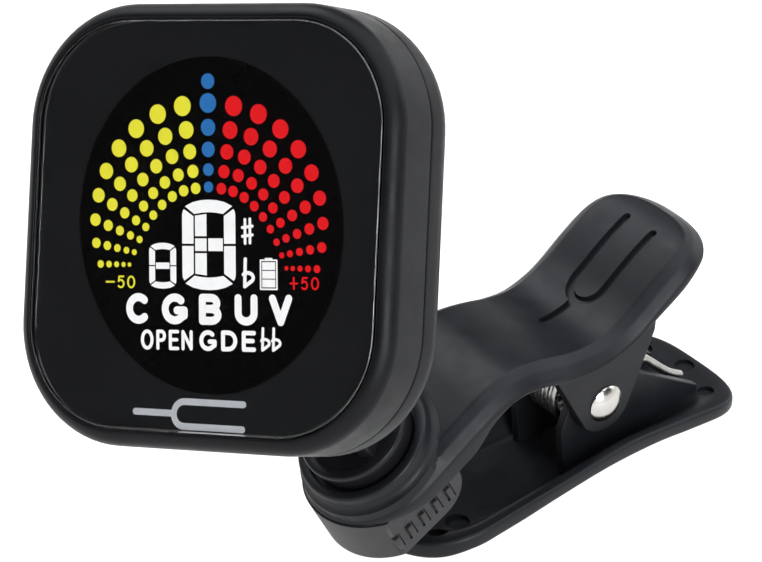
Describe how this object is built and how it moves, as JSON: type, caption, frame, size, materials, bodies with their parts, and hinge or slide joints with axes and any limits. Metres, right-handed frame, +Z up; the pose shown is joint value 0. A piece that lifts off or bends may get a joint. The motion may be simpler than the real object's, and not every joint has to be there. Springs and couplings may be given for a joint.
{
  "type": "clip-on instrument tuner",
  "caption": "Clip-on instrument tuner: a square display head on a two-hinge arm and a turntable, carried by a sprung jaw clip.",
  "frame": {"origin": "the point between the closed jaws at the clip's mouth, on the lower jaw's gripping level", "axes": "+Z up, out of the lower jaw towards the upper jaw; +Y back along the clip to the finger levers; X across the clip"},
  "size_m": [0.0551, 0.0864, 0.0738],
  "materials": {
    "case_black": "satin moulded ABS",
    "panel_gloss": "clear gloss acrylic window",
    "mask_dark": "dark printed mask behind the window",
    "badge_silver": "silver printed emblem",
    "display": "colour tuner display",
    "white_plastic": "moulded diffuser plastic",
    "ribbon_amber": "polyimide film",
    "board_green": "solder mask",
    "chip_black": "moulded epoxy",
    "steel": "plated steel",
    "foil_silver": "laminated pouch foil",
    "tape_black": "foam tape",
    "lead_red": "insulated lead",
    "lead_black": "insulated lead",
    "piezo_brass": "brass disc with a ceramic layer",
    "button_rubber": "soft-touch rubber",
    "washer_fibre": "fibre friction washer",
    "arm_black": "satin moulded nylon",
    "turntable_black": "satin moulded nylon",
    "clip_black": "satin moulded nylon, slightly glossy",
    "pad_rubber": "matt black rubber",
    "rivet_chrome": "bright domed rivet",
    "spring_steel": "bright spring wire"
  },
  "bodies": {
    "clip_lower": {"lower_jaw": "clip_black", "pivot_pin": "rivet_chrome", "torsion_spring": "spring_steel"},
    "clip_upper": {"upper_jaw": "clip_black", "upper_pad": "pad_rubber", "swivel_washer": "steel"},
    "turntable": {"swivel_base": "turntable_black", "swivel_screw": "steel", "lower_hinge_pin": "steel"},
    "arm": {"link_arm": "arm_black", "hinge_washers": "washer_fibre"},
    "head": {"front_shell": "case_black", "rear_shell": "case_black", "front_panel": "panel_gloss", "panel_mask": "mask_dark", "badge_inlay": "badge_silver", "lcd_cell": "display", "lcd_frame": "white_plastic", "backlight": "white_plastic", "lcd_ribbon": "ribbon_amber", "circuit_board": "board_green", "board_chips": "chip_black", "tact_switches": "steel", "usb_socket": "steel", "battery_cell": "foil_silver", "battery_tape": "tape_black", "battery_leads": "lead_red", "piezo_disc": "piezo_brass", "piezo_leads": "lead_black", "case_screws": "steel", "upper_hinge_pin": "steel"},
    "power_key": {"power_button": "button_rubber"},
    "mode_key": {"mode_button": "button_rubber"},
    "pitch_key": {"pitch_button": "button_rubber"}
  },
  "joints": [
    {"name": "jaw_hinge", "type": "hinge", "parent": "clip_lower", "child": "clip_upper", "pos_m": [0, 0.0265, 0.008], "axis": [-1, 0, 0], "range_deg": [0, 36], "stiffness_Nm_per_rad": 0.4, "springref_deg": -31.51, "deforming": ["torsion_spring"]},
    {"name": "swivel", "type": "hinge", "parent": "clip_upper", "child": "turntable", "pos_m": [0, -0.006, 0.0154], "axis": [0, -0.5678, 0.8231], "continuous": true},
    {"name": "lower_tilt", "type": "hinge", "parent": "turntable", "child": "arm", "pos_m": [0, -0.00884, 0.01952], "axis": [0.8801, 0.3909, 0.2696], "range_deg": [-32, 44]},
    {"name": "upper_tilt", "type": "hinge", "parent": "arm", "child": "head", "pos_m": [-0.00136, -0.01421, 0.03172], "axis": [0.8801, 0.3909, 0.2696], "range_deg": [-38, 34]},
    {"name": "power_press", "type": "slide", "parent": "head", "child": "power_key", "axis": [0.2148, -0.8342, 0.508], "range_m": [0, 0.00035], "stiffness_N_per_m": 2500, "springref_m": -0.0001},
    {"name": "mode_press", "type": "slide", "parent": "head", "child": "mode_key", "axis": [0.2148, -0.8342, 0.508], "range_m": [0, 0.00035], "stiffness_N_per_m": 2500, "springref_m": -0.0001},
    {"name": "pitch_press", "type": "slide", "parent": "head", "child": "pitch_key", "axis": [0.2148, -0.8342, 0.508], "range_m": [0, 0.00035], "stiffness_N_per_m": 2500, "springref_m": -0.0001}
  ]
}
